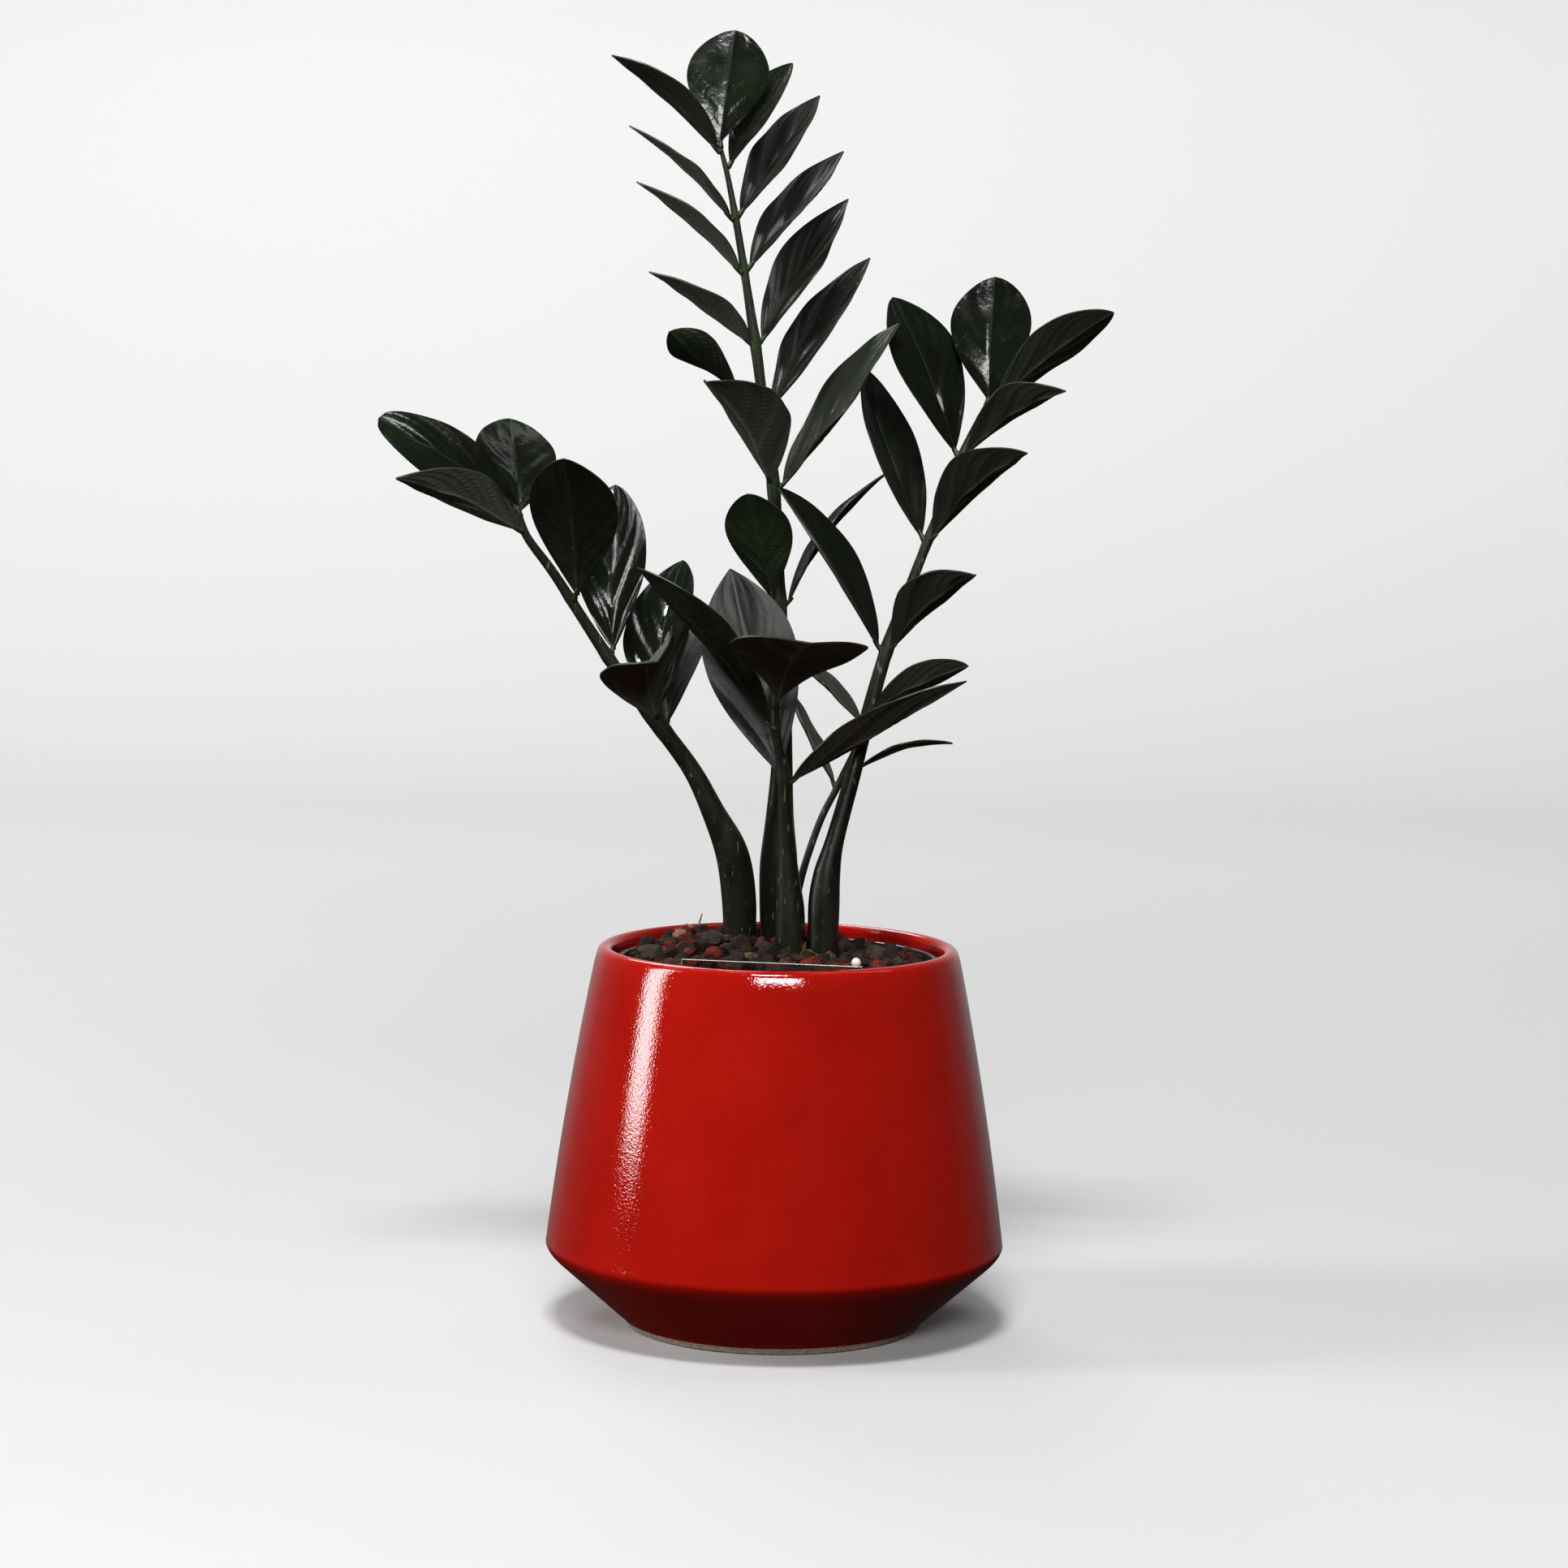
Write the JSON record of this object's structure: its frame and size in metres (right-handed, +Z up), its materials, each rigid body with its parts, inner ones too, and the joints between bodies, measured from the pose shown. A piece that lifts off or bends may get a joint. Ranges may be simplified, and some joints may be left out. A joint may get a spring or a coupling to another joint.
{
  "type": "potted_plant",
  "caption": "Potted ZZ plant with near-black glossy leaflets on upright stems, growing from lava gravel in a glazed deep red pot that narrows to its rim.",
  "frame": {"origin": "middle of the pot's flat underside, on the surface the pot stands on", "axes": "+Z up through the pot's middle, -Y towards the side of the blank label, +X to the right seen from that side"},
  "size_m": [0.3162, 0.2, 0.5617],
  "materials": {
    "glaze": "gloss, deep red",
    "clear_plastic": "clear, faintly smoky",
    "potting_mix": "damp bark and peat mix, rough",
    "lava_gravel": "porous, matt",
    "label_plastic": "clear, blank",
    "tuber_skin": "dry brown skin",
    "stem_skin": "satin, dark olive with fine marks",
    "leaf_skin": "waxy gloss, near black green"
  },
  "bodies": {
    "root": {"pot": "glaze", "grow_pot": "clear_plastic", "soil": "potting_mix", "gravel": "lava_gravel", "label": "label_plastic", "tuber": "tuber_skin", "tall_stem": "stem_skin", "left_stem": "stem_skin", "front_stem": "stem_skin", "right_stem": "stem_skin", "back_stem": "stem_skin", "tall_leaflet_01": "leaf_skin", "tall_leaflet_02": "leaf_skin", "tall_leaflet_03": "leaf_skin", "tall_leaflet_04": "leaf_skin", "tall_leaflet_05": "leaf_skin", "tall_leaflet_06": "leaf_skin", "tall_leaflet_07": "leaf_skin", "tall_leaflet_08": "leaf_skin", "tall_leaflet_09": "leaf_skin", "tall_leaflet_10": "leaf_skin", "tall_leaflet_11": "leaf_skin", "tall_leaflet_12": "leaf_skin", "tall_leaflet_13": "leaf_skin", "tall_leaflet_14": "leaf_skin", "tall_leaflet_15": "leaf_skin", "left_leaflet_01": "leaf_skin", "left_leaflet_02": "leaf_skin", "left_leaflet_03": "leaf_skin", "left_leaflet_04": "leaf_skin", "left_leaflet_05": "leaf_skin", "left_leaflet_06": "leaf_skin", "left_leaflet_07": "leaf_skin", "left_leaflet_08": "leaf_skin", "front_leaflet_01": "leaf_skin", "front_leaflet_02": "leaf_skin", "front_leaflet_03": "leaf_skin", "front_leaflet_04": "leaf_skin", "right_leaflet_01": "leaf_skin", "right_leaflet_02": "leaf_skin", "right_leaflet_03": "leaf_skin", "right_leaflet_04": "leaf_skin", "right_leaflet_05": "leaf_skin", "right_leaflet_06": "leaf_skin", "right_leaflet_07": "leaf_skin", "right_leaflet_08": "leaf_skin", "back_leaflet_01": "leaf_skin", "back_leaflet_02": "leaf_skin", "back_leaflet_03": "leaf_skin", "back_leaflet_04": "leaf_skin"}
  },
  "joints": []
}
